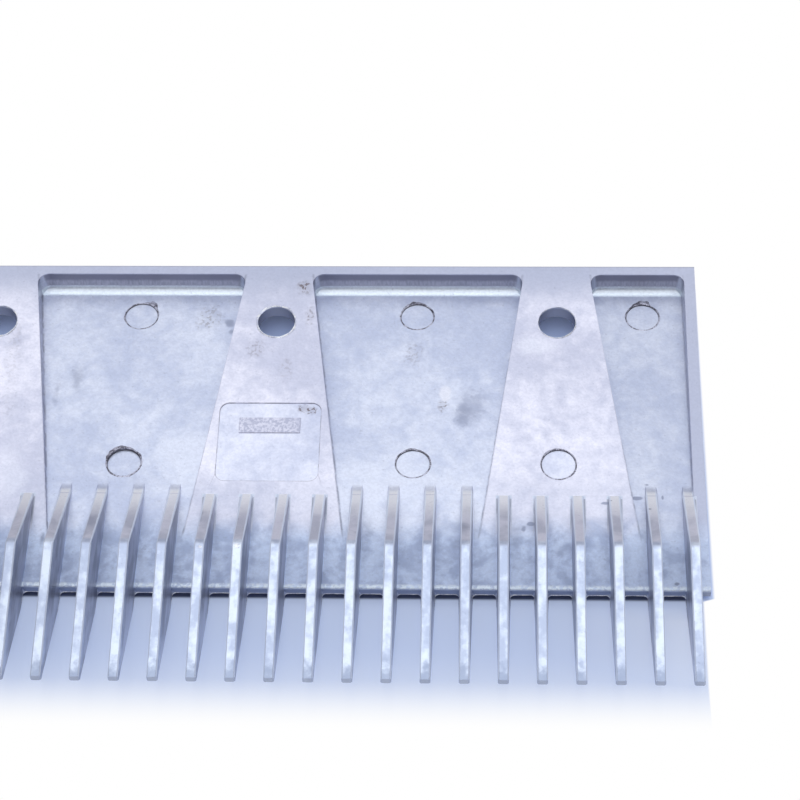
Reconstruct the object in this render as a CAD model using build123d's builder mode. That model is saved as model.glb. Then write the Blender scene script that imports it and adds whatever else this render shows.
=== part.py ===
from build123d import *
from math import radians, tan
import os

os.makedirs("parts", exist_ok=True)

# Comb plate: the toothed casting where moving steps pass under the landing.
# It is one die-cast aluminium piece, so it is one solid here.
# Sizes are in millimetres. X runs along the row of teeth, Y from the teeth back,
# Z up. The piece lies on its ribbed tread face, as it was photographed, so the
# side that is bolted down looks up.
# The casting is drawn from the line where the web ends and the teeth run on alone,
# in the middle of the row, and moved at the end so that the origin is in the middle
# of the plate's outline, in the plane of the tread face.

# Row of teeth
tooth_count = 24
tooth_pitch = 25.4 / 3
joint_room = 0.5

# Plate: a thin web over tread ribs, thickened by the lands towards the back
plate_depth = 91.6
rib_height = 1.6
web = 2.1
land_tilt = 4.3
land_start = 11.0
front_round = 0.7
back_round = 0.5

# Tooth: half widths are at the split between the two halves of the die
half_at_root = 1.55
half_at_tip = 1.36
half_at_start = 1.44
tooth_draft = 1.85
rib_draft = 5.0
ramp_start = 27.6
crest_y = 4.7
crest_rise = 11.0
tip_y = -27.4
tip_rise = 5.35
tip_thick = 1.5
tread_break = 1.0
ramp_blend = 14.0
ramp_sink = 0.35
crest_round = 2.4
tread_round = 8.0
tip_round = 0.55
tip_break = 0.35
edge_break = 0.25
root_round = 1.1
root_draft = 18.0

# Pockets between the lands
back_rim = 3.0
pocket_half = 25.6
pocket_flare = 7.7
pocket_front = 8.0
pocket_corner = 2.4
pocket_draft = 3.0
pocket_blend = 2.0
side_rim = 2.9

# Bolt holes, one in each land
steps_per_hole = 8
hole_count = 3
hole_from_back = 17.2
hole_r = 4.5
straight_wall = 3.0

# Ejector pin marks
pin_r = 4.05
pin_sink = 0.2
pin_deep_sink = 0.55
pin_from_back = 11.4
pin_front_y = 35.2
pin_land_y = 33.9
pin_end_x = 88.7

# Plain insert panel on the middle land
panel_y = 39.9
panel_wide = 24.0
panel_long = 21.8
panel_sink = 0.2
panel_corner = 2.3
pad_wide = 14.4
pad_long = 4.2
pad_from_panel = 4.6

# Sizes that follow from these
floor_z = rib_height + web
hole_y = plate_depth - hole_from_back
pocket_back = plate_depth - back_rim
pin_back_y = plate_depth - pin_from_back
plate_width = tooth_count * tooth_pitch - joint_room
hole_step = steps_per_hole * tooth_pitch
back_z = floor_z + (plate_depth - land_start) * tan(radians(land_tilt))
hole_land_z = floor_z + (hole_y - land_start) * tan(radians(land_tilt))
sink_depth = hole_land_z - straight_wall
flare = tan(radians(pocket_flare))
front_half = pocket_half - (pocket_back - pocket_front) * flare
rim_x = plate_width / 2 - side_rim
over = 2.0

# The land plane rises towards the back from the line where the lands begin
land_plane = Plane(origin=(0, land_start, floor_z), x_dir=(1, 0, 0)).rotated((land_tilt, 0, 0))


def on_land(y):
    """Distance along the land plane for a point that is y from the origin in plan."""
    return (y - land_start) / land_plane.y_dir.Y


# One tooth with the tread rib behind it. The upper half is drafted upward from the
# split, the rib half downward, and the side view cuts both to the tooth's profile.
with BuildPart() as tooth:
    with BuildSketch(Plane.XY.offset(rib_height)) as tooth_plan:
        Polygon(
            (-half_at_tip, tip_y),
            (half_at_tip, tip_y),
            (half_at_root, crest_y),
            (half_at_start, ramp_start + 6 * over),
            (-half_at_start, ramp_start + 6 * over),
            (-half_at_root, crest_y),
            align=None,
        )
    extrude(amount=web + crest_rise + over, taper=tooth_draft)
    with BuildSketch(Plane.XY.offset(rib_height)) as rib_plan:
        with Locations(((0, (plate_depth - land_start) / 2))):
            Rectangle(2 * half_at_start, plate_depth + land_start)
    extrude(amount=rib_height, dir=(0, 0, -1), taper=rib_draft)
    extrude(rib_plan.sketch, amount=web / 2)
    with BuildSketch(Plane.YZ) as tooth_side:
        with BuildLine() as tooth_outline:
            Polyline(
                (tread_break, 0),
                (plate_depth, 0),
                (plate_depth, floor_z - web / 2),
                (ramp_start + 5 * over, floor_z - web / 2),
                (ramp_start + 4 * over, floor_z - ramp_sink),
                (ramp_start, floor_z),
                (crest_y, floor_z + crest_rise),
                (tip_y, floor_z + tip_rise),
                (tip_y, floor_z + tip_rise - tip_thick),
                close=True,
            )
        make_face()
        # In this sketch local X is the part's Y and local Y is the part's Z
        fillet(tooth_side.vertices().sort_by(Axis.Y)[-1], radius=crest_round)
        fillet(tooth_side.vertices().sort_by_distance((ramp_start, floor_z))[0], radius=ramp_blend)
        fillet(tooth_side.vertices().sort_by_distance((tread_break, 0))[0], radius=tread_round)
        fillet(tooth_side.vertices().group_by(Axis.X)[0], radius=tip_round)
    extrude(amount=tooth_pitch / 2, both=True, mode=Mode.INTERSECT)
    top_faces = tooth.faces().filter_by(lambda f: f.normal_at().Z > 0.5 and f.center().Z > floor_z)
    side_edges = top_faces.edges().filter_by(lambda e: abs(e.tangent_at(0.5).X) < 0.5)
    top_edges = side_edges.filter_by(lambda e: e.center().Z > floor_z + 1 and e.center().Y > tip_y + 1)
    chamfer(top_edges, length=edge_break)
    tip_sides = tooth.edges().filter_by(lambda e: abs(e.tangent_at(0.5).Z) > 0.9)
    chamfer(tip_sides.filter_by(lambda e: e.center().Y < tip_y + tip_round), length=tip_break)

# What the four pockets take out of the lands: a plan with rounded back corners and
# drafted walls, cut to a side view that has the back wall's blend into the floor
with BuildPart() as pocket_room:
    with BuildSketch(Plane.XY.offset(floor_z)) as pocket_plan:
        with Locations((-hole_step / 2, 0), (hole_step / 2, 0)):
            Polygon(
                (-front_half, pocket_front),
                (front_half, pocket_front),
                (pocket_half, pocket_back),
                (-pocket_half, pocket_back),
                align=None,
            )
        Polygon(
            (3 * hole_step / 2 - front_half, pocket_front),
            (rim_x, pocket_front),
            (rim_x, pocket_back),
            (3 * hole_step / 2 - pocket_half, pocket_back),
            align=None,
        )
        mirror(about=Plane.YZ)
        fillet(pocket_plan.vertices().group_by(Axis.Y)[-1], radius=pocket_corner)
    extrude(amount=back_z, taper=-pocket_draft)
    with BuildSketch(Plane.YZ) as pocket_side:
        with BuildLine() as pocket_outline:
            Polyline(
                (0, floor_z),
                (pocket_back, floor_z),
                (pocket_back + back_z * tan(radians(pocket_draft)), floor_z + back_z),
                (0, floor_z + back_z),
                close=True,
            )
        make_face()
        fillet(pocket_side.vertices().sort_by_distance((pocket_back, floor_z))[0], radius=pocket_blend)
    extrude(amount=plate_width / 2, both=True, mode=Mode.INTERSECT)

with BuildPart() as casting:
    # Web and lands in side view, with the rounded front and back edges
    with BuildSketch(Plane.YZ) as plate_side:
        with BuildLine() as plate_outline:
            Polyline(
                (0, rib_height),
                (plate_depth, rib_height),
                (plate_depth, back_z),
                (land_start, floor_z),
                (0, floor_z),
                close=True,
            )
        make_face()
        fillet(plate_side.vertices().sort_by_distance((0, floor_z))[0], radius=front_round)
        fillet(plate_side.vertices().sort_by_distance((plate_depth, back_z))[0], radius=back_round)
    extrude(amount=plate_width / 2, both=True)
    add(pocket_room.part, mode=Mode.SUBTRACT)

    # Rounded roots in plan, where the web's front edge meets each tooth. They lean
    # back and die out towards the rounded front edge.
    with BuildSketch(Plane.XY.offset(rib_height)) as root_plan:
        with Locations((0, 2 * root_round)):
            Rectangle(plate_width, 4 * root_round)
        with GridLocations(tooth_pitch, 0, tooth_count, 1):
            Rectangle(2 * half_at_start, 4 * root_round)
        at_web = root_plan.vertices().filter_by(lambda v: abs(v.Y) < 0.01)
        fillet(at_web.filter_by(lambda v: abs(v.X) < plate_width / 2 - 0.01), radius=root_round)
    extrude(amount=web - front_round, taper=root_draft)

    # The row of teeth, each in line with its tread rib
    with GridLocations(tooth_pitch, 0, tooth_count, 1):
        add(tooth.part)

    # Bolt holes, sunk from the tread side for flat-headed screws
    with Locations((0, hole_y)), GridLocations(hole_step, 0, hole_count, 1):
        Cylinder(hole_r, 2 * back_z, mode=Mode.SUBTRACT)
        Cone(
            hole_r + sink_depth,
            hole_r,
            sink_depth,
            align=(Align.CENTER, Align.CENTER, Align.MIN),
            mode=Mode.SUBTRACT,
        )

    # Ejector pin marks in the pockets and on the outer lands
    with BuildSketch(Plane.XY.offset(floor_z)) as pocket_marks:
        with Locations((-hole_step / 2, pin_back_y), (hole_step / 2, pin_back_y), (hole_step / 2, pin_front_y)):
            Circle(pin_r)
        with Locations((-pin_end_x, pin_back_y), (pin_end_x, pin_back_y)):
            Circle(pin_r)
    extrude(amount=-pin_sink, mode=Mode.SUBTRACT)
    with BuildSketch(Plane.XY.offset(floor_z)) as deep_mark:
        with Locations((-hole_step / 2, pin_front_y)):
            Circle(pin_r)
    extrude(amount=-pin_deep_sink, mode=Mode.SUBTRACT)
    with BuildSketch(land_plane) as land_marks:
        with Locations((-hole_step, on_land(pin_land_y)), (hole_step, on_land(pin_land_y))):
            Circle(pin_r)
    extrude(amount=-pin_sink, mode=Mode.SUBTRACT)

    # Plain insert panel on the middle land, with a low blank pad left standing in it
    with BuildSketch(land_plane) as panel:
        with Locations((0, on_land(panel_y))):
            RectangleRounded(panel_wide, panel_long, panel_corner)
        with Locations((0, on_land(panel_y) + pad_from_panel)):
            Rectangle(pad_wide, pad_long, mode=Mode.SUBTRACT)
    extrude(amount=-panel_sink, mode=Mode.SUBTRACT)

# The origin goes to the middle of the outline, tips included
middle = casting.part.bounding_box().center()
with BuildPart() as comb_plate:
    with Locations((0, -middle.Y, 0)):
        add(casting.part)

comb_plate.part.label = "comb_plate"
export_step(comb_plate.part, "parts/comb_plate.step")
box = comb_plate.part.bounding_box()
print("solids:", len(comb_plate.part.solids()), "valid:", comb_plate.part.is_valid)
print("size:", [round(v, 2) for v in (box.size.X, box.size.Y, box.size.Z)])
print("volume cm3:", round(comb_plate.part.volume / 1000, 2))
print("web's end line at Y:", round(-middle.Y, 4))
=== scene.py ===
# %% [markdown]
# # Comb plate of an escalator
# The plate is one die-cast aluminium piece. It lies on its ribbed tread face, so the
# underside that is bolted to the landing looks up. The packed model is loaded first,
# and every surface below takes its place from it. Sizes are written in millimetres,
# as on a drawing, and become metres where a mesh or a material needs them.

# %% Load the packed model
import math

import bmesh
import bpy
import numpy as np
from mathutils import Matrix, Vector


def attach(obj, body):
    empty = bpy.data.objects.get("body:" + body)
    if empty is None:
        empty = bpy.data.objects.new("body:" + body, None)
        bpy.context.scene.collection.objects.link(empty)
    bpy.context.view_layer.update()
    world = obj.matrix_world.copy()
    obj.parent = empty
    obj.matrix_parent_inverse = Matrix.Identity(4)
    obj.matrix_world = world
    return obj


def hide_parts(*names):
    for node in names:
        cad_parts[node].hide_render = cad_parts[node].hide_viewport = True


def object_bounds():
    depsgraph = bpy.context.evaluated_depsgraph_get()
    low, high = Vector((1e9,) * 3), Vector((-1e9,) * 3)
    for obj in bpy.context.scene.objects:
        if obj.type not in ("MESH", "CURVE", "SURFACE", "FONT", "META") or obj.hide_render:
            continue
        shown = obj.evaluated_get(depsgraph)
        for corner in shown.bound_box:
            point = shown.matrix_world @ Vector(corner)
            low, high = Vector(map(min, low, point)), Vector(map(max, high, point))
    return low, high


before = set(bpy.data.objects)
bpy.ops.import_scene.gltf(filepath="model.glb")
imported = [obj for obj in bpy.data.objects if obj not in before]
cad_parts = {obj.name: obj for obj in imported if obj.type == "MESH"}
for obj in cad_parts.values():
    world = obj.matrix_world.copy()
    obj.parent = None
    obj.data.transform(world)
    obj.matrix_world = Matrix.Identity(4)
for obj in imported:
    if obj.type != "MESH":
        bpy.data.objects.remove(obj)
cad_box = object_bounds()
plate_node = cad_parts["comb_plate"]
print("plate box, mm:", [[round(1000 * v, 1) for v in corner] for corner in cad_box])

# %% [markdown]
# ## Sizes that the finish follows
# Stains, flash and grime sit at places of the casting, so its driving sizes are named
# here. Places in plan are counted from the line where the web ends and the teeth run
# on alone, as a drawing of the part would have them.

# %% Sizes of the casting, in millimetres
tooth_count = 24
pitch = 25.4 / 3
joint_room = 0.5
plate_depth = 91.6
rib_height, floor_z = 1.6, 3.7
row_half = 0.5 * tooth_count * pitch
root_line = 1000 * cad_box[1][1] - plate_depth

# Teeth: half widths at the split of the die, then places and heights in side view
tooth_half_root, tooth_half_tip = 1.55, 1.36
tip_y, crest_y, ramp_start = -27.4, 4.7, 27.6
tip_rise, crest_rise = 5.35, 11.0
crest_z = floor_z + crest_rise

# Lands, and the pockets between them
land_start, land_tilt = 11.0, math.radians(4.3)
pocket_back, pocket_half, pocket_flare = plate_depth - 3.0, 25.6, math.radians(7.7)
pocket_blend = 2.0
rim_x = 0.5 * (tooth_count * pitch - joint_room) - 2.9

# Bolt holes, marks of the ejector pins, and the insert panel with its pad
hole_step, hole_y, hole_r = 8 * pitch, plate_depth - 17.2, 4.5
pin_r, end_pin_x = 4.05, 88.7
pin_back, pin_front, pin_land = plate_depth - 11.4, 35.2, 33.9
panel_y, panel_wide, panel_long, panel_corner = 39.9, 24.0, 21.8, 2.3
pad_y, pad_wide, pad_long, pad_corner = panel_y + 4.6, 14.4, 4.2, 0.1


def land_height(y):
    """Height of the land plane at y from the web's end, in millimetres."""
    return floor_z + (y - land_start) * math.tan(land_tilt)


print("web's end at Y, mm:", round(root_line, 3), "bolt holes apart, mm:", round(hole_step, 2))

# %% [markdown]
# ## Shader maths as plain expressions
# A finish is mostly sums and products of patterns. Drawn as a web of nodes these are
# hard to read, so a small class wraps a socket, and an expression such as 1 - mask
# adds the Math node that it needs.


# %% The class that wraps a socket
class Value:
    """A number that varies over a surface: an output socket in a node tree."""

    def __init__(self, finish, socket):
        self.finish = finish
        self.socket = socket

    def _with(self, operation, *others):
        return self.finish.maths(operation, self, *others)

    def __add__(self, other):
        return self._with("ADD", other)

    def __radd__(self, other):
        return self.finish.maths("ADD", other, self)

    def __sub__(self, other):
        return self._with("SUBTRACT", other)

    def __rsub__(self, other):
        return self.finish.maths("SUBTRACT", other, self)

    def __mul__(self, other):
        return self._with("MULTIPLY", other)

    def __rmul__(self, other):
        return self.finish.maths("MULTIPLY", other, self)

    def __abs__(self):
        return self._with("ABSOLUTE")

    def root(self):
        return self._with("SQRT")

    def least(self, other):
        return self._with("MINIMUM", other)

    def most(self, other):
        return self._with("MAXIMUM", other)


print("a socket now takes + - * and abs()")

# %% [markdown]
# Blender's shaders want colours in linear light, while an eye or a colour picker reads
# them as a screen shows them. One short function turns the second into the first.


# %% Colours as read on a screen
def from_screen(colour):
    """Red, green and blue from 0 to 255, as linear numbers: c / 12.92 where c is small,
    and ((c + 0.055) / 1.055) to the power 2.4 elsewhere, with c from 0 to 1."""
    c = np.array(colour) / 255
    linear = np.where(c <= 0.04045, c / 12.92, ((c + 0.055) / 1.055) ** 2.4)
    return (*[float(v) for v in linear], 1.0)


print("middle grey of a screen, linear:", round(from_screen((128, 128, 128))[0], 3))

# %% [markdown]
# A finish is a material's node tree. The methods that add noise, soft steps, spots and
# outlines are written once here. They read Object coordinates, which lie still on the
# casting whichever way the camera looks at it.


# %% The class that holds a finish
class Finish:
    """A node tree with the few calls that add nodes to it."""

    def __init__(self, name):
        self.material = bpy.data.materials.new(name)
        self.material.use_nodes = True
        self.tree = self.material.node_tree
        self.shader = self.tree.nodes["Principled BSDF"]
        self.place = Value(self, self.node("ShaderNodeTexCoord").outputs["Object"])

    def node(self, kind, settings=None, **sockets):
        """Adds a node: its settings first, then a value or a link for each named socket."""
        made = self.tree.nodes.new(kind)
        for key, value in (settings or {}).items():
            setattr(made, key, value)
        for key, value in sockets.items():
            self.feed(made.inputs[key.replace("_", " ")], value)
        return made

    def feed(self, socket, value):
        """Links a socket, or sets its number, whichever the value calls for."""
        if isinstance(value, Value):
            value = value.socket
        if isinstance(value, bpy.types.NodeSocket):
            self.tree.links.new(value, socket)
        else:
            socket.default_value = value

    def maths(self, operation, *values):
        made = self.node("ShaderNodeMath", {"operation": operation})
        for socket, value in zip(made.inputs, values):
            self.feed(socket, value)
        return Value(self, made.outputs[0])

    def plan(self):
        """Object coordinates in millimetres: across, along from the web's end, and up."""
        split = self.node("ShaderNodeSeparateXYZ", Vector=self.place)
        x, y, z = (Value(self, split.outputs[i]) for i in range(3))
        self.mm = 1000 * x, 1000 * y - root_line, 1000 * z
        return self.mm

    def noise(self, scale, detail, stretch=(1, 1, 1), move=(0, 0, 0), bend=0.0):
        """A soft random cloud from 0 to 1; its scale is in waves a metre."""
        turned = self.node("ShaderNodeMapping", Vector=self.place, Scale=stretch, Location=move)
        cloud = self.node("ShaderNodeTexNoise", Vector=turned.outputs[0], Scale=scale, Detail=detail,
                          Roughness=0.55, Distortion=bend)
        return Value(self, cloud.outputs["Fac"])

    def ramp(self, value, low, high):
        """0 at low, 1 at high and smooth between; low may be above high."""
        made = self.node("ShaderNodeMapRange", {"interpolation_type": "SMOOTHSTEP"}, Value=value,
                         From_Min=low, From_Max=high)
        return Value(self, made.outputs["Result"])

    def mix(self, factor, first, second):
        """Two colours mixed by a factor."""
        made = self.node("ShaderNodeMix", {"data_type": "RGBA"})
        for socket, value in zip((made.inputs[0], made.inputs[6], made.inputs[7]), (factor, first, second)):
            self.feed(socket, value)
        return Value(self, made.outputs[2])

    def tones(self, cloud, dark, pale):
        """A dark and a pale screen colour, mixed by a cloud."""
        return self.mix(cloud, from_screen(dark), from_screen(pale))

    def cover(self, factor, under, paint):
        """A colour with a screen colour laid over it by a factor."""
        return self.mix(factor, under, from_screen(paint))

    def spot(self, x, y, reach_x, reach_y, wobble, soft):
        """1 inside an ellipse in plan, 0 outside; wobble is a number that bends its rim."""
        across, along, _ = self.mm
        u, v = (across - x) * (1 / reach_x), (along - y) * (1 / reach_y)
        return self.ramp((u * u + v * v).root() + wobble, 1.0, 1.0 - soft)

    def from_row(self, step, y):
        """Distance in plan from the nearest of the points in a row along x, a step apart."""
        across, along, _ = self.mm
        u = step * (self.maths("FRACT", across * (1 / step) + 0.5) - 0.5)
        v = along - y
        return (u * u + v * v).root()

    def from_outline(self, y, half_x, half_y, corner):
        """Distance in millimetres from the outline of a rectangle with rounded corners,
        which lies across the middle of the plate."""
        across, along, _ = self.mm
        u, v = abs(across) - (half_x - corner), abs(along - y) - (half_y - corner)
        outside_u, outside_v = u.most(0.0), v.most(0.0)
        round_part = (outside_u * outside_u + outside_v * outside_v).root()
        return abs(round_part + u.most(v).least(0.0) - corner)


print("calls of a finish:", [name for name in vars(Finish) if not name.startswith("_")])

# %% [markdown]
# ## Die-cast aluminium
# Raw casting skin is a dull metal with a cool cast. Nothing on it is one flat colour:
# where hot metal ran together it is clouded, drawn walls are streaked, and grit and
# specks lie on top. A picture of it could be pasted on, but it would fit one view
# only. Seven clouds of noise, from coarse to fine, serve all the tones below.

# %% Clouds on the casting
cast = Finish("cast_aluminium")
across, along, height = cast.plan()
sides = abs(across)
big = cast.noise(26, 3, move=(0.2, 0.1, 0))
mid = cast.noise(95, 4, bend=0.8)
fine = cast.noise(430, 3)
grain = cast.noise(1500, 2)
streaks = cast.noise(260, 3, stretch=(1, 0.3, 1))
drawn = cast.noise(900, 2, stretch=(2.2, 1, 0.5))
specks = cast.noise(1150, 2, move=(0.3, 0.7, 0))
print("nodes of the cast aluminium so far:", len(cast.tree.nodes))

# %% [markdown]
# A mask is a number from 0 to 1 that says where on the casting a point is. Each is a
# product of soft steps on distances in millimetres. The teeth end on the lands, so a
# point on a land there is told from a ramp by how near it is to the land plane.

# %% Masks of the teeth, lands and walls
from_tooth = pitch * abs(cast.maths("FRACT", across * (1 / pitch)) - 0.5)
above_floor = height - floor_z
below_land = land_height(along) - height
standing = cast.ramp(above_floor, 0.25, 0.6) * cast.ramp(along, 28.9, 25.5) * cast.ramp(from_tooth, 1.9, 1.7)
past_web = cast.ramp(along, 0.0, -0.3)
past_ramp = cast.ramp(along, 25.3, 25.5) * cast.ramp(abs(below_land), 0.14, 0.08)
tooth = (standing * (1 - past_ramp)).most(past_web)
flank = tooth * cast.ramp(from_tooth, 1.12, 1.25)
slope = tooth * cast.ramp(along, crest_y + 0.6, crest_y + 2.0)
land = cast.ramp(below_land, 0.3, 0.1) * cast.ramp(along, land_start, land_start + 4) * (1 - tooth)
inside = cast.ramp(along, pocket_back + 0.9, pocket_back + 0.6) * cast.ramp(above_floor, -0.6, -0.3)
inside = inside * cast.ramp(sides, rim_x + 1.2, rim_x + 0.8)
back_wall = cast.ramp(along, pocket_back - 0.4, pocket_back + 0.02) * cast.ramp(below_land, 0.1, 0.4) * inside
print("nodes of the cast aluminium so far:", len(cast.tree.nodes))

# %% [markdown]
# Pocket floors are a cold blue grey, and the raised lands a little warmer and paler.
# Towards the plate's edges the lands turn duller, and towards the teeth the whole skin
# is darker and bluer, in blotches. One cloud drives both tones, so that patches run on
# from a floor to the land beside it.

# %% Skin of the floors and lands
cloud = cast.ramp(0.45 * big + 0.35 * mid + 0.2 * fine, 0.38, 0.62)
floor_tone = cast.tones(cloud, (196, 203, 226), (228, 232, 247))
land_tone = cast.tones(cloud, (200, 201, 219), (238, 236, 248))
colour = cast.mix(land, floor_tone, land_tone)
near_edge = cast.ramp(along, 76.0, 90.0).most(cast.ramp(sides, 96.0, 99.0)).most(0.35 * cast.ramp(along, 34.0, 26.0))
colour = cast.cover(0.9 * near_edge * land, colour, (180, 184, 204))
blotch = cast.ramp(mid + 0.5 * (fine - 0.5), 0.36, 0.64)
front = cast.ramp(along + 9 * (mid - 0.5), 21.0, 12.0) * (1 - tooth)
colour = cast.mix(front, colour, cast.tones(blotch, (180, 192, 220), (214, 226, 250)))
print("nodes of the cast aluminium so far:", len(cast.tree.nodes))

# %% [markdown]
# Teeth have mottled bright tops, darker at the very tips. Their ramps are painted paler
# as they run down to the lands, a painted highlight where the blend turns up to the
# light, and their flanks are painted dark, as painted shade between the teeth. Each tone
# is laid over the last by its own mask, from the widest to the narrowest.

# %% Tops, ramps and flanks of the teeth
top_tone = cast.tones(cast.ramp(0.6 * streaks + 0.4 * fine, 0.40, 0.60), (186, 195, 218), (224, 232, 248))
worn_tip = cast.ramp(along + 8 * (fine - 0.5), tip_y + 5, tip_y + 1)
top_tone = cast.cover(0.85 * worn_tip, top_tone, (158, 168, 192))
colour = cast.mix(tooth, colour, top_tone)
slope_tone_and_highlight = cast.tones(cast.ramp(mid, 0.4, 0.6), (198, 200, 216), (222, 222, 236))
# Painted highlight: the ramps are painted paler towards the lands, where the blend turns up to the light.
slope_tone_and_highlight = cast.cover(cast.ramp(along + 3 * (mid - 0.5), 13.0, 24.0), slope_tone_and_highlight, (250, 250, 255))
colour = cast.mix(slope, colour, slope_tone_and_highlight)
# Painted shade: the flanks are painted darker, with streaks.
flank_shade_tone = cast.tones(cast.ramp(streaks, 0.4, 0.6), (166, 170, 186), (204, 208, 224))
colour = cast.mix(flank, colour, flank_shade_tone)
print("nodes of the cast aluminium so far:", len(cast.tree.nodes))

# %% [markdown]
# The creases where a pocket's sloping sides meet its floor are painted darker, as
# painted shade. A crease is a thin band round the line of the side, which leans outwards
# to the back by the pocket's flare, with a gap wherever the fine cloud is low.

# %% Creases along the sides of the pockets
from_pocket = hole_step * abs(cast.maths("FRACT", across * (1 / hole_step)) - 0.5)
side_line = from_pocket - (pocket_half - (pocket_back - along) * math.tan(pocket_flare))
in_row = cast.ramp(sides, rim_x - 0.6, rim_x - 1.2)
end_line = cast.ramp(abs(sides - rim_x), 0.34, 0.12)
# Painted shade: a dark band along each crease and at the ends of the row of pockets.
crease_shade = cast.ramp(abs(side_line + 0.25 * (fine - 0.5)), 0.42, 0.10) * in_row
crease_shade = crease_shade.most(0.6 * end_line) * cast.ramp(along + 4 * (mid - 0.5), 13.5, 16.5)
crease_shade = crease_shade * cast.ramp(along, pocket_back + 0.5, pocket_back)
patchy = 0.3 + 0.4 * cast.ramp(fine, 0.42, 0.58)
colour = cast.cover(crease_shade * patchy * (1 - tooth), colour, (140, 142, 160))
print("nodes of the cast aluminium so far:", len(cast.tree.nodes))

# %% [markdown]
# A pocket's back wall slid along the die, so it is streaked upright; it is also painted
# dark, darkest near its top, as painted shade, and the blend at its foot carries a pale
# stripe, a painted highlight where it turns up to the light. The web's front face is
# painted dark too, as painted shade, and its rounded upper edge carries bright specks
# of metal and a painted highlight.

# %% Drawn walls, the web's front and the bolt holes
# Painted shade: the back walls are streaked and painted darker, darkest near the top.
streaked_wall_shade = cast.tones(cast.ramp(drawn, 0.35, 0.65), (164, 166, 182), (186, 187, 202))
streaked_wall_shade = cast.cover(cast.ramp(above_floor + 0.7 * (fine - 0.5), 3.0, 4.2), streaked_wall_shade, (138, 139, 156))
# Painted highlight: a pale stripe along the blend at the foot of each back wall.
blend_highlight = cast.ramp(above_floor + 0.5 * (drawn - 0.5), 1.9, 1.5)
blend_highlight = blend_highlight * cast.ramp(along, pocket_back - pocket_blend, pocket_back - 1.4)
blend_highlight = blend_highlight * cast.ramp(below_land, 1.0, 2.0) * inside
colour = cast.cover(blend_highlight, cast.mix(back_wall, colour, streaked_wall_shade), (238, 246, 255))
# Painted shade: the web's front face is painted darker.
web_face_shade = cast.ramp(along, 0.16, 0.03) * cast.ramp(height, 3.35, 3.05) * (1 - past_web)
colour = cast.cover(web_face_shade, colour, (156, 166, 192))
# Painted highlight along the web's rounded upper edge, with bright specks of metal.
web_edge_highlight = cast.ramp(along, 1.5, 0.8) * cast.ramp(height, 3.25, 3.5) * (1 - tooth)
colour = cast.cover(web_edge_highlight * (0.35 + 0.65 * cast.ramp(specks, 0.42, 0.56)), colour, (238, 246, 255))
from_hole = cast.from_row(hole_step, hole_y)
# Painted shade: the walls of the bolt holes, and the low side round them, are painted darker.
hole_shade = cast.ramp(from_hole, hole_r + 0.1, hole_r) * cast.ramp(below_land, 0.15, 0.4)
hole_shade = hole_shade.most(cast.ramp(height, 3.3, 3.1) * cast.ramp(from_hole, 12.0, 11.0))
colour = cast.cover(hole_shade, colour, (164, 166, 180))
print("nodes of the cast aluminium so far:", len(cast.tree.nodes))

# %% [markdown]
# Stains follow no rule of the casting, so they are placed one by one, as ellipses
# with bent rims: dark smears, brown specks, and places rubbed pale. They are placed in
# plan alone, as the painted shade of the creases and the dark lines of the rims and
# outlines are, so they show on the tread face too, where they don't belong. A mask on
# height would keep them off it.

# %% Stains as (across, along, reach across, reach along, depth), in millimetres
smeared = (
    (-47.5, 60.0, 2.6, 8.0, 0.55), (-52.0, 57.0, 1.6, 7.0, 0.45), (47.0, 52.5, 5.6, 6.6, 0.5),
    (44.6, 49.5, 3.4, 4.0, 0.25), (-12.2, 78.0, 1.5, 1.6, 0.8), (-11.4, 75.2, 0.9, 1.1, 0.7),
    (85.5, 25.6, 2.0, 0.7, 1.6), (88.0, 29.4, 1.2, 0.8, 1.3), (78.6, 23.4, 1.6, 0.5, 1.5),
    (91.5, 25.8, 0.4, 0.9, 1.4), (88.0, 19.8, 1.1, 0.7, 1.0), (93.9, 1.9, 1.1, 0.7, 1.6),
    (61.2, 17.8, 1.1, 0.6, 1.6), (59.6, 16.2, 0.7, 1.2, 0.9), (-39.5, 13.5, 4.6, 4.0, 0.5),
    (-27.3, 8.0, 2.6, 7.0, 0.5), (-10.1, 6.0, 2.6, 5.0, 0.3), (57.7, 15.0, 4.4, 5.0, 0.4),
    (67.9, 11.3, 4.0, 5.5, 0.4), (24.5, 17.5, 2.8, 5.0, 0.5), (46.0, 12.0, 3.0, 4.0, 0.5),
    (-50.5, 13.0, 1.2, 3.6, 0.8), (-14.0, 17.0, 1.0, 7.0, 0.6),
)
brown = (
    (6.4, 85.0, 3.0, 3.2, 0.9), (8.6, 49.0, 3.0, 1.7, 1.0), (8.0, 76.0, 1.4, 4.0, 0.5),
    (-4.6, 66.5, 2.8, 3.4, 0.3), (-17.5, 79.0, 4.0, 5.0, 0.35), (40.6, 52.8, 1.6, 2.6, 0.6),
    (33.0, 69.0, 4.0, 5.0, 0.25), (-63.0, 62.0, 3.0, 20.0, 0.12), (3.0, 60.0, 2.0, 4.0, 0.2),
)
rubbed = (
    (41.2, 56.0, 1.8, 3.2, 0.7), (63.0, 67.5, 7.0, 3.6, 0.45), (-62.0, 30.0, 7.0, 9.0, 0.35),
    (-21.5, 20.0, 2.2, 9.0, 0.4),
)
bent = 1.4 * (mid - 0.5) + 0.9 * (fine - 0.5)


def depth_in(stains, soft):
    """How deep a point lies in stains: the sum of each one's depth times its soft ellipse."""
    return sum(depth * cast.spot(*ellipse, bent, soft) for *ellipse, depth in stains)


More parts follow.
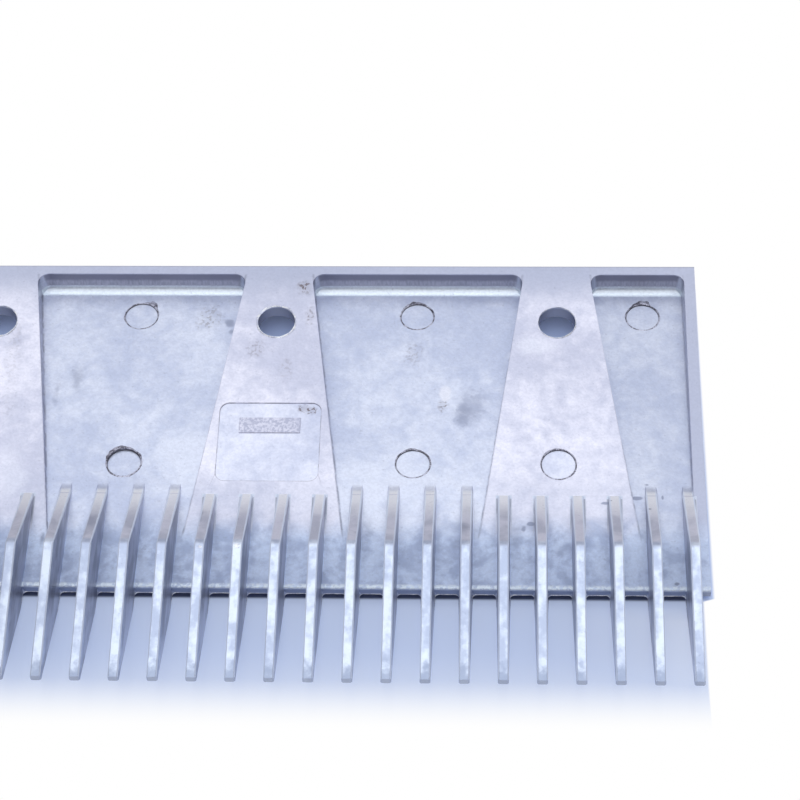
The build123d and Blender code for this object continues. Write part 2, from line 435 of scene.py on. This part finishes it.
colour = cast.cover(0.75 * cast.ramp(depth_in(smeared, 0.95), 0.0, 1.0), colour, (134, 140, 164))
specked = depth_in(brown, 0.7) * (0.25 + cast.ramp(specks, 0.50, 0.60))
colour = cast.cover(specked.least(1.0), colour, (122, 112, 116))
for *ellipse, depth in rubbed:
    colour = cast.cover(depth * cast.spot(*ellipse, bent, 0.5), colour, (240, 240, 250))
colour = cast.cover(0.16 * cast.ramp(specks, 0.66, 0.72), colour, (120, 124, 145))
colour = cast.cover(0.11 * cast.ramp(grain, 0.40, 0.60) * (1 - 0.6 * tooth), colour, (150, 154, 172))
print("stains:", len(smeared), "smeared,", len(brown), "brown,", len(rubbed), "rubbed pale")

# %% [markdown]
# Fine dark lines are painted on the torn rims of the pin marks and on the outlines of
# the insert panel and its pad. The plate's halves mirror each other in these, so a
# distance to either side of the middle serves for both marks of a pair.

# %% Dark lines round the pin marks, the panel and its pad
dark_rim_lines = 0.0
for x, y in ((hole_step / 2, pin_back), (end_pin_x, pin_back), (hole_step / 2, pin_front), (hole_step, pin_land)):
    u, v = sides - x, along - y
    from_rim = abs((u * u + v * v).root() + 0.25 * (fine - 0.5) - pin_r)
    dark_rim_lines = dark_rim_lines + cast.ramp(from_rim, 0.30, 0.05)
on_land = cast.ramp(abs(below_land), 0.5, 0.4)
panel_line = cast.ramp(cast.from_outline(panel_y, panel_wide / 2, panel_long / 2, panel_corner), 0.17, 0.02)
pad_line = cast.ramp(cast.from_outline(pad_y, pad_wide / 2, pad_long / 2, pad_corner), 0.15, 0.02)
dark_rim_lines = dark_rim_lines + (0.42 * panel_line + 0.3 * pad_line) * (0.4 + cast.ramp(fine, 0.40, 0.6)) * on_land
# Fine dark lines painted on the pin rims and on the outlines of the panel and its pad.
colour = cast.cover((0.8 * dark_rim_lines).least(0.85) * (1 - tooth), colour, (92, 88, 96))
on_pad = cast.ramp(sides, pad_wide / 2 + 0.05, pad_wide / 2 - 0.05)
on_pad = on_pad * cast.ramp(abs(along - pad_y), pad_long / 2 + 0.05, pad_long / 2 - 0.05) * on_land
colour = cast.cover(on_pad * (0.3 + 0.5 * cast.ramp(grain, 0.4, 0.6)), colour, (168, 170, 192))
print("nodes of the cast aluminium so far:", len(cast.tree.nodes))

# %% [markdown]
# The upper edges of the teeth are painted pale, a painted highlight along their rounded
# edges. They are found as the band just under the lower of two lines in side view, the
# top's and the ramp's. Where these highlights and the paler ends of the ramps by the lands
# are painted, or the skin is darker towards the teeth, less of the finish is metal.

# %% Painted highlights on the teeth's edges, metal and gloss
metal, roughness = 0.8, 0.42
top_line = crest_z + (along - crest_y) * ((crest_rise - tip_rise) / (crest_y - tip_y))
ramp_line = crest_z - (along - crest_y) * (crest_rise / (ramp_start - crest_y))
below_top = top_line.least(ramp_line) - height
# Painted highlight: a pale band along the upper edges of the teeth.
tooth_edge_highlight = tooth * cast.ramp(from_tooth, 0.88, 0.96) * cast.ramp(below_top + 0.3 * (fine - 0.5), 0.55, 0.35)
colour = cast.cover(0.85 * tooth_edge_highlight, colour, (214, 222, 240))
# Teeth darker towards the left end, floors darker towards the right end.
colour = cast.cover(0.14 * tooth * cast.ramp(across, -25.0, -60.0), colour, (110, 110, 118))
right_end = cast.ramp(across, 70.0, 84.0)
colour = cast.cover(0.10 * right_end * (1 - land) * (1 - tooth), colour, (110, 114, 130))
highlight_metal_cut = (0.7 * tooth_edge_highlight + 0.2 * slope * cast.ramp(along, 18.0, 26.0)).least(0.75)
relief = 0.5 * fine + 0.3 * grain + 0.5 * (mid * front)
bump = cast.node("ShaderNodeBump", Height=relief, Strength=0.40, Distance=0.00022)
cast.feed(cast.shader.inputs["Base Color"], colour)
cast.feed(cast.shader.inputs["Metallic"], metal - 0.25 * front * (1 - web_edge_highlight) - highlight_metal_cut)
cast.feed(cast.shader.inputs["Roughness"], roughness + 0.14 * (mid - 0.5) + 0.1 * front + 0.08 * dark_rim_lines)
cast.feed(cast.shader.inputs["Normal"], bump.outputs[0])
print("nodes of the cast aluminium:", len(cast.tree.nodes))

# %% [markdown]
# Flash, the thin metal that was squeezed out where parts of the die met, gets two plain
# finishes of one kind: a dark one, painted shade, for the torn rims of the pin marks,
# and a pale one, a painted highlight, for the burrs, the chips and the parting hairs.


# %% Finish of the flash
def flash_finish(name, dark, pale, metal):
    flash = Finish(name)
    tone = 0.6 * flash.noise(700, 3) + 0.4 * flash.noise(2600, 2)
    flash.feed(flash.shader.inputs["Base Color"], flash.tones(flash.ramp(tone, 0.42, 0.58), dark, pale))
    flash.feed(flash.shader.inputs["Roughness"], 0.30 + 0.3 * tone)
    flash.shader.inputs["Metallic"].default_value = metal
    return flash.material


# Painted shade: the dark flash finish, for the torn pin rims.
shaded_flash = flash_finish("shaded_flash", (104, 102, 114), (196, 196, 212), 0.75)
# Painted highlight: the pale flash finish, for burrs, chips and parting hairs.
lit_flash = flash_finish("lit_flash", (206, 210, 228), (252, 253, 255), 0.6)
print("finishes:", [material.name for material in (cast.material, shaded_flash, lit_flash)])

# %% [markdown]
# ## The plate itself
# The packed mesh is loose triangles with hard edges. In a merged copy, normals weighted
# by area keep the flat faces flat. Rims of pockets and holes and the outline are also
# marked for a narrow bevel, to catch a line of light as the rounded edges of a casting
# do; the teeth have chamfers of their own. Little comes of it here: a bevel is clamped
# to the room that the smallest facets leave, and of the 0.2 mm asked for that is about
# 0.006 mm. An edge that has to show its roundness is better rounded in the solid.


# %% Merged copy of the plate
def add_object(name, data):
    """An object at the origin, put into the scene."""
    made = bpy.data.objects.new(name, data)
    bpy.context.scene.collection.objects.link(made)
    return made


def merged_copy(node, name):
    """The node's mesh with shared points joined."""
    mesh = bpy.data.meshes.new(name)
    work = bmesh.new()
    work.from_mesh(node.data)
    work.transform(node.matrix_world)
    bmesh.ops.remove_doubles(work, verts=work.verts, dist=2e-6)
    work.to_mesh(mesh)
    work.free()
    return add_object(name, mesh)


plate = merged_copy(plate_node, "cast_plate")
print("merged faces:", len(plate.data.polygons))

# %% Narrow bevel on the rims
sharp_from = math.radians(24)
rim_from, web_rim_from, side_rim = 31, 3, 0.4


def bevel_marks(mesh, angle):
    """Gives a bevel weight to each outward edge whose faces meet at more than the angle
    and that is a rim of a pocket or hole or the outline; other such edges stay sharp."""
    work = bmesh.new()
    work.from_mesh(mesh)
    weight = work.edges.layers.float.new("bevel_weight_edge")
    count = 0
    for edge in work.edges:
        if len(edge.link_faces) != 2 or edge.calc_face_angle(0) < angle:
            continue
        middle = 1000 * (edge.verts[0].co + edge.verts[1].co) / 2
        y = middle.y - root_line
        rim = y > web_rim_from and middle.z > floor_z + 0.1 and edge.calc_face_angle_signed(0) > 0
        if rim and (y > rim_from or abs(middle.x) > row_half - side_rim):
            edge[weight] = 1.0
            count += 1
        else:
            edge.smooth = False
    work.to_mesh(mesh)
    work.free()
    return count


print("rim edges:", bevel_marks(plate.data, sharp_from))
plate.data.materials.append(cast.material)
plate.data.shade_smooth()
bevel = plate.modifiers.new("soft_edges", "BEVEL")
bevel.width = 0.0002
bevel.segments = 2
bevel.limit_method = "WEIGHT"
facing = plate.modifiers.new("flat_faces", "WEIGHTED_NORMAL")
facing.mode = "FACE_AREA"
facing.weight = 100
facing.keep_sharp = True
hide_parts("comb_plate")
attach(plate, "root")

# %% [markdown]
# ## Flash round pin marks and bolt holes
# An ejector pin leaves a round dimple with a thin, torn rim, and a bolt hole has a
# burr. A bump in the material would give them no outline, so they are meshes: strips
# of cross-sections whose height and width wander with a sum of sines.


# %% Strips of metal
def wander(angle, seed, waves=11):
    """A smooth closed curve over the angle: sines of 1 to 11 turns with seeded phases,
    each weaker with the root of its number of turns. It stays near -1 to 1."""
    dice = np.random.default_rng(seed)
    turns = np.arange(1, waves + 1)[:, None]
    phase = dice.uniform(0, 2 * np.pi, (waves, 1))
    return (np.sin(turns * angle + phase) / np.sqrt(turns)).sum(0) / 2.2


def strip(name, rows, material, closed=False):
    """A mesh through rows of points, in millimetres from the web's end; each row is one
    cross-section, and closed joins the last row to the first."""
    count, wide = rows.shape[:2]
    points = rows.reshape(-1, 3) + [0, root_line, 0]
    i = np.arange(count if closed else count - 1)[:, None]
    j = np.arange(wide - 1)[None, :]
    after = (i + 1) % count
    faces = np.stack([i * wide + j, i * wide + j + 1, after * wide + j + 1, after * wide + j], -1).reshape(-1, 4)
    mesh = bpy.data.meshes.new(name)
    mesh.from_pydata((points / 1000).tolist(), [], faces.tolist())
    mesh.shade_smooth()
    mesh.materials.append(material)
    made = add_object(name, mesh)
    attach(made, "root")
    return made


print("wander at four angles:", np.round(wander(np.arange(4.0), 1), 2))

# %% [markdown]
# Most pin rims have one wide tongue of flash on the side towards the back edge. It is
# a bell curve over the angle, torn by a second wander, and added to height and width.


# %% Rims of pin marks and burrs of bolt holes
def rim(name, x, y, radius, seed, material, on_land, high=0.10, wide=0.20,
        tongue=0.0, toward=1.57, spread=0.45, cut=0.35):
    """A torn rim round a circle: six points from inside to outside at each angle. Height and
    width are their base size, times one plus a share of the wander, plus the tongue."""
    angle = np.linspace(0, 2 * np.pi, 144, endpoint=False)
    off = np.angle(np.exp(1j * (angle - toward)))
    lobe = tongue * np.exp(-(off / spread) ** 2) * (1 + cut * wander(angle * 2, seed + 50))
    height = high * (1 + 0.6 * wander(angle, seed)) + 0.10 * lobe
    width = wide * (1 + 0.5 * wander(angle, seed + 7)) + lobe
    shape = np.array([(-0.10, -0.12), (-0.05, 0.55), (0.02, 1.0), (0.35, 0.7), (0.75, 0.3), (1.0, -0.06)])
    out = np.where(shape[:, 0] > 0, shape[:, 0] * width[:, None], shape[:, 0])
    rise = np.clip(height, 0.02, None)[:, None] * shape[:, 1]
    px = x + (radius + out) * np.cos(angle)[:, None]
    py = y + (radius + out) * np.sin(angle)[:, None]
    base = land_height(py) if on_land else floor_z
    return strip(name, np.stack([px, py, base + rise], -1)[::-1], material, closed=True)


half = hole_step / 2
pin_marks = {
    "left_back": (-half, pin_back, 3, dict(tongue=0.9, toward=1.0, spread=0.35)),
    "left_front": (-half, pin_front, 11, dict(high=0.16, wide=0.3, tongue=0.7, toward=2.0, spread=0.8)),
    "right_back": (half, pin_back, 19, dict(tongue=0.75, toward=1.75, spread=0.55, cut=0.6)),
    "right_front": (half, pin_front, 23, dict(tongue=0.3, toward=1.7, spread=0.5)),
    "right_end": (end_pin_x, pin_back, 31, dict(tongue=1.2, toward=1.57, spread=0.5, cut=0.7)),
    "left_end": (-end_pin_x, pin_back, 37, dict(tongue=0.6, toward=1.4)),
    "right_land": (hole_step, pin_land, 41, dict(high=0.12, tongue=0.25, toward=1.9, spread=0.7)),
    "left_land": (-hole_step, pin_land, 43, dict(tongue=0.3)),
}
rims = [
    rim(f"pin_rim_{place}", x, y, pin_r, seed, shaded_flash, place.endswith("land"), **look)
    for place, (x, y, seed, look) in pin_marks.items()
]
burrs = {"left": (-hole_step, 61, 0.26), "middle": (0.0, 67, 0.40), "right": (hole_step, 71, 0.16)}
rims += [
    rim(f"hole_burr_{side}", x, hole_y, hole_r + 0.04, seed, lit_flash, True, high=0.24, wide=wide)
    for side, (x, seed, wide) in burrs.items()
]
print("rims of flash:", len(rims))

# %% [markdown]
# Two crests have a small chip of metal turned up. Each is a sheet that swells across
# the tooth and slopes down towards its tip.

# %% Chips on two crests
chip_sink = 0.22


def flake(name, x, y, wide, long, high):
    """A chip of metal turned up on a tooth's crest: height times (1 - u squared) times
    (1 - v) squared over 4, with u and v from -1 to 1 over its width and length, so that
    its long slope faces the teeth's tips."""
    u, v = np.meshgrid(np.linspace(-1, 1, 15), np.linspace(-1, 1, 9), indexing="ij")
    rise = high * (1 - u * u) * (1 - v) ** 2 / 4 * (1 + 0.3 * wander(3 * u[:, 0], 91)[:, None])
    edge = 1 - 0.35 * u * u
    z = crest_z - chip_sink + rise
    return strip(name, np.stack([x + wide * u, y - long * v * edge, z], -1), lit_flash)


crest_chips = [
    flake("crest_chip_tooth_12", -0.5 * pitch, crest_y - 0.9, wide=0.95, long=0.5, high=0.34),
    flake("crest_chip_tooth_11", -1.5 * pitch + 0.2, crest_y - 1.2, wide=0.5, long=0.3, high=0.25),
]
print("chips:", len(crest_chips))

# %% [markdown]
# The halves of the die met at the lower edge of the web. A hair of metal runs there
# from flank to flank, round each root and a little way along each tooth, in the pale
# flash finish as a painted highlight. It is a low profile carried along that path.

# %% Path of the parting line
root_x, root_r = 1.44, 1.1


def half_width(y):
    """Half the thickness of a tooth at the split, straight from the root to the tip."""
    return np.interp(y, (tip_y, crest_y), (tooth_half_tip, tooth_half_root))


def parting_path(gap):
    """Plan points and outward directions from one tooth's flank round to the next one's: a
    straight run, a quarter circle at the root, the web's edge, and the same mirrored."""
    run = np.linspace(-6.0, -1.2, 9)
    turn = np.linspace(np.pi, np.pi / 2, 9)
    side = np.stack([half_width(run), run], 1)
    side_out = np.tile([1.0, 0.0], (run.size, 1))
    arc = np.stack([root_x + root_r + root_r * np.cos(turn), -root_r + root_r * np.sin(turn)], 1)
    arc_out = -np.stack([np.cos(turn), np.sin(turn)], 1)
    flat = np.stack([np.linspace(root_x + root_r, pitch / 2, 8)[1:], np.zeros(7)], 1)
    flat_out = np.tile([0.0, -1.0], (7, 1))
    points = np.concatenate([side, arc, flat])
    outward = np.concatenate([side_out, arc_out, flat_out])
    mirrored = np.stack([pitch - points[::-1, 0], points[::-1, 1]], 1)[1:]
    mirrored_out = np.stack([-outward[::-1, 0], outward[::-1, 1]], 1)[1:]
    points, outward = np.concatenate([points, mirrored]), np.concatenate([outward, mirrored_out])
    points[:, 0] += (gap - tooth_count / 2 + 0.5) * pitch
    return points, outward


print("points on one path:", len(parting_path(0)[0]))

# %% Hairs of the parting line
foot = -0.04


def parting_line(gap):
    """The hair of one gap: a low ridge whose height wanders and dies out at both ends. Its
    profile has a foot sunk into the wall, the ridge twice, and a foot again, at four heights."""
    points, outward = parting_path(gap)
    along_it = np.linspace(0, 1, len(points))
    fade = np.clip(np.minimum(along_it, 1 - along_it) * 6, 0, 1)
    tall = (0.10 + 0.05 * wander(along_it * 4, 100 + gap)) * fade + 0.01
    sunk = np.full_like(tall, foot)
    rows = []
    for reach, z in ((sunk, 0.17), (tall, 0.09), (tall, 0.03), (sunk, -0.05)):
        level = np.full((len(points), 1), rib_height + z)
        rows.append(np.concatenate([points + outward * reach[:, None], level], 1))
    return np.stack(rows, 1)


hairs = [
    strip(f"parting_line_{gap + 1:02d}", parting_line(gap), lit_flash)
    for gap in range(tooth_count - 1)
]
print("parting lines:", len(hairs))

# %% [markdown]
# ## Table, light and camera
# The plate lies on a pale glossy table top. Away from the plate the picture is plain
# white, so there the table shows white to the camera and keeps its own shading only
# near the casting, where its shadow and reflection are. More light would do the same
# but would bleach the metal, so the white is a glow that only the camera, mirrors and
# glass can see.


# %% Table top
def square_grid(reach, steps):
    """A square grid at height 0: x and y run evenly from -reach to reach."""
    line = np.linspace(-reach, reach, steps + 1)
    x, y = np.meshgrid(line, line)
    points = np.stack([x.ravel(), y.ravel(), np.zeros(x.size)], 1)
    i = np.arange(steps * steps)
    corner = i // steps * (steps + 1) + i % steps
    faces = np.stack([corner, corner + 1, corner + steps + 2, corner + steps + 1], 1)
    mesh = bpy.data.meshes.new("table_top")
    mesh.from_pydata(points.tolist(), [], faces.tolist())
    return mesh


table = add_object("table_top", square_grid(3.0, 8))
print("table faces:", len(table.data.polygons))

# %% [markdown]
# Between the teeth and through the bolt holes the table of the photograph looks pale
# blue. A faint glow gives that to the camera, mirrors and glass. Right under the web's
# front edge the table is painted dark instead, a painted shadow as in a narrow gap.

# %% Finish of the table
pale = Finish("pale_table")
to_side, to_back, _ = pale.plan()
from_middle = abs(to_side)
beside = (from_middle - row_half + 2.4 * pale.ramp(to_back, 0.5, -0.5)).most(to_back - plate_depth).most(0.0)
past_tips = pale.ramp(to_back, tip_y + 15.0, tip_y - 7.0)
by_the_ends = 0.45 * pale.ramp(from_middle, 60.0, 99.0) * pale.ramp(to_back, -1.0, -6.0)
to_white = pale.ramp(beside, 0.0, 1.0).most(past_tips).most(by_the_ends)
in_holes = pale.ramp(to_back, 40.0, 42.0) * (0.15 + 1.3 * pale.ramp(to_back, hole_y + 3.0, hole_y - 1.5))
between = 0.38 * pale.ramp(to_back, 0.9, -0.7).most(in_holes)
# Painted shadow: the table's colour turns dark right under the web's front edge.
web_gap_shadow = pale.ramp(to_back, -0.7, 0.2) * pale.ramp(to_back, 3.0, 1.5) * pale.ramp(from_middle, 100.0, 99.0)
path = pale.node("ShaderNodeLightPath")
seen = Value(pale, path.outputs["Is Camera Ray"]) + Value(pale, path.outputs["Is Glossy Ray"])
seen = (seen + Value(pale, path.outputs["Is Transmission Ray"])).least(1.0)
glow = pale.mix(to_white, from_screen((214, 226, 252)), (1, 1, 1, 1))
white = pale.node("ShaderNodeEmission", Color=glow, Strength=1.0)
both = pale.node("ShaderNodeMixShader")
pale.feed(both.inputs[0], (between * (1 - web_gap_shadow)).most(to_white) * seen)
pale.feed(both.inputs[1], pale.shader.outputs[0])
pale.feed(both.inputs[2], white.outputs[0])
pale.feed(pale.tree.nodes["Material Output"].inputs[0], both.outputs[0])
pale.feed(pale.shader.inputs["Base Color"], pale.tones(web_gap_shadow, (206, 222, 255), (110, 118, 146)))
pale.shader.inputs["Roughness"].default_value = 0.16
table.data.materials.append(pale.material)
print("nodes of the table:", len(pale.tree.nodes))

# %% [markdown]
# A soft box hangs overhead and a second one stands behind the camera. The rest of the
# room is dim, and greyest behind the plate. Metal shows that room in its slopes: the
# bright tops, the grey ramps and the dark back walls of the pockets come from it, and
# the back walls are also painted dark in the casting's colour, as painted shade.
# Painted on the world with soft steps, the room needs no lamps.


# %% Light
class Sky(Finish):
    """The world's node tree, with the same calls as a finish."""

    def __init__(self, world):
        world.use_nodes = True
        self.tree = world.node_tree
        self.shader = self.tree.nodes["Background"]
        self.place = Value(self, self.node("ShaderNodeTexCoord").outputs["Generated"])

    def directions(self):
        """How far a ray points east, north and up, each from -1 to 1."""
        split = self.node("ShaderNodeSeparateXYZ", Vector=self.place)
        return (Value(self, split.outputs[i]) for i in range(3))


world = bpy.data.worlds.new("studio")
bpy.context.scene.world = world
sky = Sky(world)
east, north, up = sky.directions()
soft_box = sky.ramp(up + 0.06 * north, 0.60, 0.97)
room_behind = 0.50 * sky.ramp(north, -0.1, 0.6)
room_beside = 0.25 * sky.ramp(abs(east), 0.3, 0.9)
front_box = sky.ramp(0 - north, 0.45, 0.70) * sky.ramp(up, 0.36, 0.52) * (1 - soft_box)
level = 0.10 + (room_behind + room_beside) * (1 - soft_box) + 1.5 * soft_box + 1.1 * front_box
to_camera = Value(sky, sky.node("ShaderNodeLightPath").outputs["Is Camera Ray"])
room = sky.mix(soft_box, (0.96, 0.96, 1.0, 1), (0.90, 0.95, 1.0, 1))
sky.feed(sky.shader.inputs["Color"], sky.mix(to_camera, room, (1, 1, 1, 1)))
sky.feed(sky.shader.inputs["Strength"], level * (1 - to_camera) + to_camera)
print("nodes of the world:", len(sky.tree.nodes))

# %% [markdown]
# The camera was found by fitting it, together with the plate's sizes, to edges
# measured in the photograph. Its direction is written as yaw, tilt and roll, and its
# focal length in pixels of the photograph, as the fit gives them.

# %% Camera
yaw, tilt, roll = (math.radians(v) for v in (-3.6515, 51.3539, 2.6210))
focal_pixels, photo_pixels = 2473.44, 800
stand = Vector((53.731, root_line - 312.542, 463.267)) / 1000
forward = Vector((math.sin(yaw) * math.cos(tilt), math.cos(yaw) * math.cos(tilt), -math.sin(tilt)))
right = Vector((math.cos(yaw), -math.sin(yaw), 0))
down = forward.cross(right)
right, down = math.cos(roll) * right + math.sin(roll) * down, math.cos(roll) * down - math.sin(roll) * right
lens = bpy.data.cameras.new("view")
lens.sensor_width = 36
lens.lens = focal_pixels / photo_pixels * lens.sensor_width
lens.clip_start = 0.01
camera = add_object("view", lens)
axes = Matrix((right, -down, -forward)).transposed()
camera.matrix_world = Matrix.Translation(stand) @ axes.to_4x4()
bpy.context.scene.camera = camera
bpy.context.scene.view_settings.view_transform = "Standard"
print("focal length, mm:", round(lens.lens, 2))
